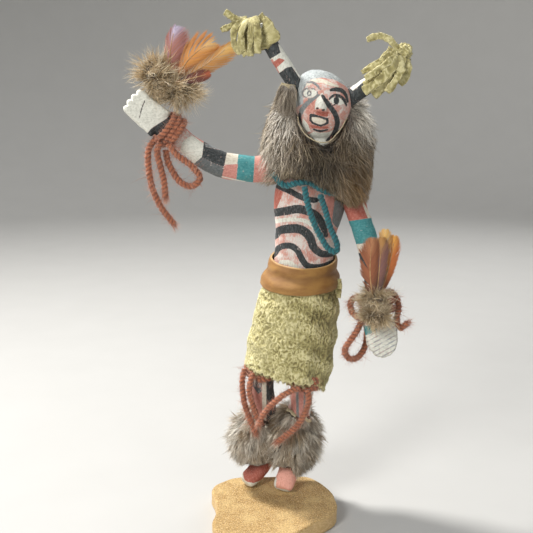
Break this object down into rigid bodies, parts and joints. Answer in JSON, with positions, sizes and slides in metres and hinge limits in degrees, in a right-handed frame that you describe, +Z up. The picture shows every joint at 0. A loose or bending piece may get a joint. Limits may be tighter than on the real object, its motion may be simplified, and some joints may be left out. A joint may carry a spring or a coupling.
{
  "type": "kachina doll",
  "caption": "Carved and painted dancing kachina doll with horned head, fur collar and anklets, suede kilt, wool yarn ties and feathers in both hands, standing on a lobed slab base.",
  "frame": {"origin": "centre of the base's underside", "axes": "+Z up from the base to the horn tassels; the doll faces -Y, with its raised right arm on -X"},
  "size_m": [0.1592, 0.0769, 0.303],
  "materials": {
    "painted_wood": "matt painted carved wood: white ground, pink-red dry brushing, black, grey and teal bands",
    "sanded_base": "wood slab with a sanded tan top and a paler side",
    "suede": "rough sage-green split suede",
    "belt_leather": "smooth tan leather",
    "fur": "rabbit fur on hide, grey-brown",
    "down": "soft brown down",
    "feather": "orange and brown small feathers with a silky barb",
    "rust_yarn": "rust wool yarn, two-ply twist, fuzzy",
    "teal_yarn": "teal wool yarn, two-ply twist"
  },
  "bodies": {
    "root": {"base": "sanded_base", "figure": "painted_wood", "right_arm": "painted_wood", "left_arm": "painted_wood", "right_horn": "painted_wood", "left_horn": "painted_wood", "right_horn_tassel": "suede", "left_horn_tassel": "suede", "belt": "belt_leather", "kilt": "suede", "neck_yarn": "teal_yarn", "chest_yarn_loop": "teal_yarn", "fur_ruff": "fur", "right_wrist_yarn": "rust_yarn", "left_wrist_yarn": "rust_yarn", "right_knee_yarn": "rust_yarn", "left_knee_yarn": "rust_yarn", "left_anklet": "fur", "right_anklet": "fur", "right_feather_upright": "feather", "right_feather_spread": "feather", "right_feather_long": "feather", "right_feather_short": "feather", "left_feather_outer": "feather", "left_feather_middle": "feather", "left_feather_long": "feather", "left_feather_inner": "feather", "right_hand_down": "down", "left_hand_down": "down", "right_wrist_yarn_tail": "rust_yarn", "right_wrist_yarn_end": "rust_yarn", "right_wrist_yarn_loop": "rust_yarn", "left_wrist_yarn_loop": "rust_yarn", "left_wrist_yarn_bight": "rust_yarn", "left_wrist_yarn_tail": "rust_yarn", "right_knee_yarn_outer": "rust_yarn", "right_knee_yarn_inner": "rust_yarn", "left_knee_yarn_across": "rust_yarn", "left_knee_yarn_down": "rust_yarn"}
  },
  "joints": []
}
